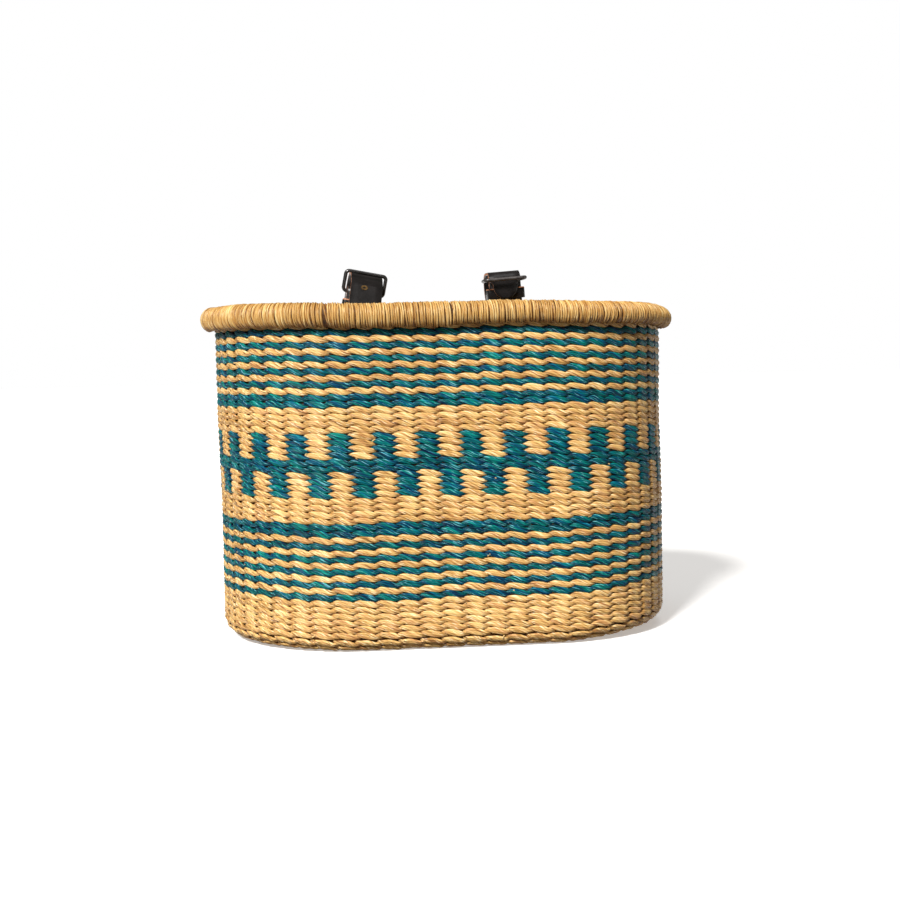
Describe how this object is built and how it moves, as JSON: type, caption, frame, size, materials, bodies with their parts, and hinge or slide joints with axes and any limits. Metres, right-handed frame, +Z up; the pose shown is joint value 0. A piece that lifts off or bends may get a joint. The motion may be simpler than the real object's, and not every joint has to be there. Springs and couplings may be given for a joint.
{
  "type": "handlebar basket",
  "caption": "Oblong twined grass basket with a wrapped rim and dyed stripes, hung on a handlebar by two buckled leather straps.",
  "frame": {"origin": "middle of the base's plan on the plane the basket rests on", "axes": "+Z up, -Y towards the front of the basket away from the rider, +X to the viewer's right when looking at the front"},
  "size_m": [0.3494, 0.2654, 0.2723],
  "materials": {
    "natural_grass": "dry straw, satin",
    "dyed_grass": "straw dyed teal and blue, satin",
    "rim_grass": "dry straw, satin",
    "strap_leather": "black finished leather with raw edges",
    "black_wire": "gloss black",
    "grey_wire": "dull gunmetal",
    "brass": "dull brass"
  },
  "bodies": {
    "basket": {"base_weave": "natural_grass", "wall_weave": "natural_grass", "stakes": "natural_grass", "lower_natural_weft": "natural_grass", "lower_striped_weft": "dyed_grass", "lower_plain_weft": "natural_grass", "pattern_weft": "dyed_grass", "upper_plain_weft": "natural_grass", "upper_striped_weft": "dyed_grass", "rim_core": "rim_grass", "rim_wrap": "rim_grass", "left_strap": "strap_leather", "left_strap_rivet": "brass", "left_eyelet": "brass", "right_strap": "strap_leather", "right_strap_rivet": "brass"},
    "left_keeper": {"left_keeper": "strap_leather"},
    "left_buckle": {"left_buckle_frame": "black_wire"},
    "left_prong": {"left_prong": "black_wire"},
    "right_keeper": {"right_keeper": "strap_leather"},
    "right_buckle": {"right_buckle_frame": "grey_wire"},
    "right_prong": {"right_prong": "grey_wire"}
  },
  "joints": [
    {"name": "left_buckle_swing", "type": "hinge", "parent": "basket", "child": "left_buckle", "pos_m": [-0.04897, 0.1215, 0.25205], "axis": [0.9816, 0, -0.1908], "range_deg": [-20, 80]},
    {"name": "left_prong_swing", "type": "hinge", "parent": "basket", "child": "left_prong", "pos_m": [-0.04897, 0.1215, 0.25205], "axis": [0.9816, 0, -0.1908], "range_deg": [0, 55]},
    {"name": "left_keeper_slide", "type": "slide", "parent": "basket", "child": "left_keeper", "axis": [0.1908, 0, 0.9816], "range_m": [-0.006, 0]},
    {"name": "right_buckle_swing", "type": "hinge", "parent": "basket", "child": "right_buckle", "pos_m": [0.06766, 0.1215, 0.26131], "axis": [0.9976, 0, 0.0698], "range_deg": [-125, 28]},
    {"name": "right_prong_swing", "type": "hinge", "parent": "basket", "child": "right_prong", "pos_m": [0.06766, 0.1215, 0.26131], "axis": [0.9976, 0, 0.0698], "range_deg": [0, 36]},
    {"name": "right_keeper_slide", "type": "slide", "parent": "basket", "child": "right_keeper", "axis": [-0.0698, 0, 0.9976], "range_m": [-0.006, 0]}
  ]
}
